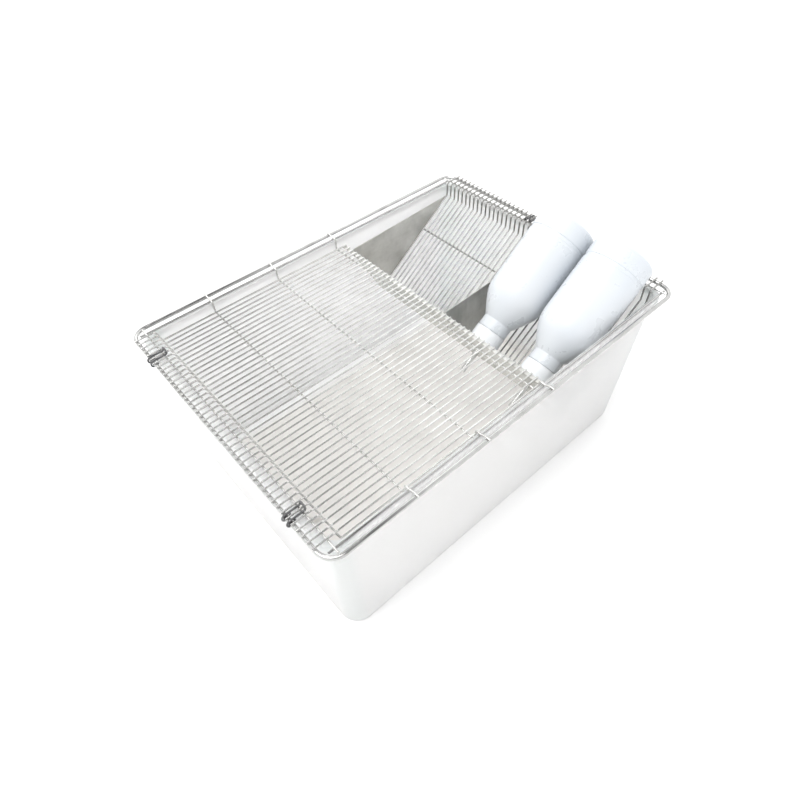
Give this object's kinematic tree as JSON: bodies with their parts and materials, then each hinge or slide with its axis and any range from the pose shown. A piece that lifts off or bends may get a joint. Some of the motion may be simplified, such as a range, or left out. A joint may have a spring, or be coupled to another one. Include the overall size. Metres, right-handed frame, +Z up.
{
  "type": "laboratory rat cage",
  "caption": "Moulded plastic tub under a lift-off wire lid with a V-shaped food hopper, rim clips and drinking bottles that lie head down with sipper tubes into the cage.",
  "frame": {"origin": "middle of the tub's underside", "axes": "+Z up, +Y along the cage to the hopper end, +X across it to the bottle side"},
  "size_m": [0.355, 0.4798, 0.2667],
  "materials": {
    "tub_plastic": "clear, slightly milky moulded plastic",
    "lid_steel": "polished wire",
    "sheet_steel": "dull sheet",
    "clip_steel": "drawn wire",
    "bottle_plastic": "milky blown plastic",
    "cap_plastic": "milky plastic",
    "seal_rubber": "soft",
    "tube_steel": "polished"
  },
  "bodies": {
    "tub": {"tub": "tub_plastic"},
    "lid": {"lid_frame_rod": "lid_steel", "side_wires": "lid_steel", "end_cross_wires": "lid_steel", "field_wires": "lid_steel", "field_cross_wires": "lid_steel", "hopper_front_plate": "sheet_steel", "hopper_wires": "lid_steel", "hopper_cross_wire": "lid_steel", "hopper_end_plate_left": "sheet_steel", "hopper_end_plate_right": "sheet_steel", "hopper_divider": "sheet_steel"},
    "clip_near_left": {"clip_near_left": "clip_steel"},
    "clip_near_right": {"clip_near_right": "clip_steel"},
    "clip_far": {"clip_far": "clip_steel"},
    "bottle_a": {"bottle_a": "bottle_plastic"},
    "cap_a": {"bottle_cap_a": "cap_plastic", "cap_seal_a": "seal_rubber", "sipper_tube_a": "tube_steel"},
    "ball_a": {"sipper_ball_a": "tube_steel"},
    "bottle_b": {"bottle_b": "bottle_plastic"},
    "cap_b": {"bottle_cap_b": "cap_plastic", "cap_seal_b": "seal_rubber", "sipper_tube_b": "tube_steel"},
    "ball_b": {"sipper_ball_b": "tube_steel"}
  },
  "joints": [
    {"name": "lid_lift", "type": "slide", "parent": "tub", "child": "lid", "axis": [0, 0, 1], "range_m": [0, 0.16]},
    {"name": "clip_near_left_hinge", "type": "hinge", "parent": "lid", "child": "clip_near_left", "pos_m": [-0.12155, -0.23525, 0.20255], "axis": [1, 0, 0], "range_deg": [0, 270]},
    {"name": "clip_near_right_hinge", "type": "hinge", "parent": "lid", "child": "clip_near_right", "pos_m": [0.12155, -0.23525, 0.20255], "axis": [1, 0, 0], "range_deg": [0, 270]},
    {"name": "clip_far_hinge", "type": "hinge", "parent": "lid", "child": "clip_far", "pos_m": [-0.02145, 0.23525, 0.20255], "axis": [-1, 0, 0], "range_deg": [0, 270]},
    {"name": "bottle_a_slide", "type": "slide", "parent": "lid", "child": "bottle_a", "axis": [0, 0.8007, 0.599], "range_m": [0, 0.16]},
    {"name": "cap_a_turn", "type": "hinge", "parent": "bottle_a", "child": "cap_a", "pos_m": [0.04855, 0.06406, 0.1365], "axis": [0, -0.8007, -0.599], "range_deg": [0, 450]},
    {"name": "ball_a_travel", "type": "slide", "parent": "cap_a", "child": "ball_a", "axis": [0, 0.8007, 0.599], "range_m": [0, 0.0015]},
    {"name": "bottle_b_slide", "type": "slide", "parent": "lid", "child": "bottle_b", "axis": [0, 0.8007, 0.599], "range_m": [0, 0.16]},
    {"name": "cap_b_turn", "type": "hinge", "parent": "bottle_b", "child": "cap_b", "pos_m": [0.12305, 0.06406, 0.1365], "axis": [0, -0.8007, -0.599], "range_deg": [0, 450]},
    {"name": "ball_b_travel", "type": "slide", "parent": "cap_b", "child": "ball_b", "axis": [0, 0.8007, 0.599], "range_m": [0, 0.0015]}
  ]
}
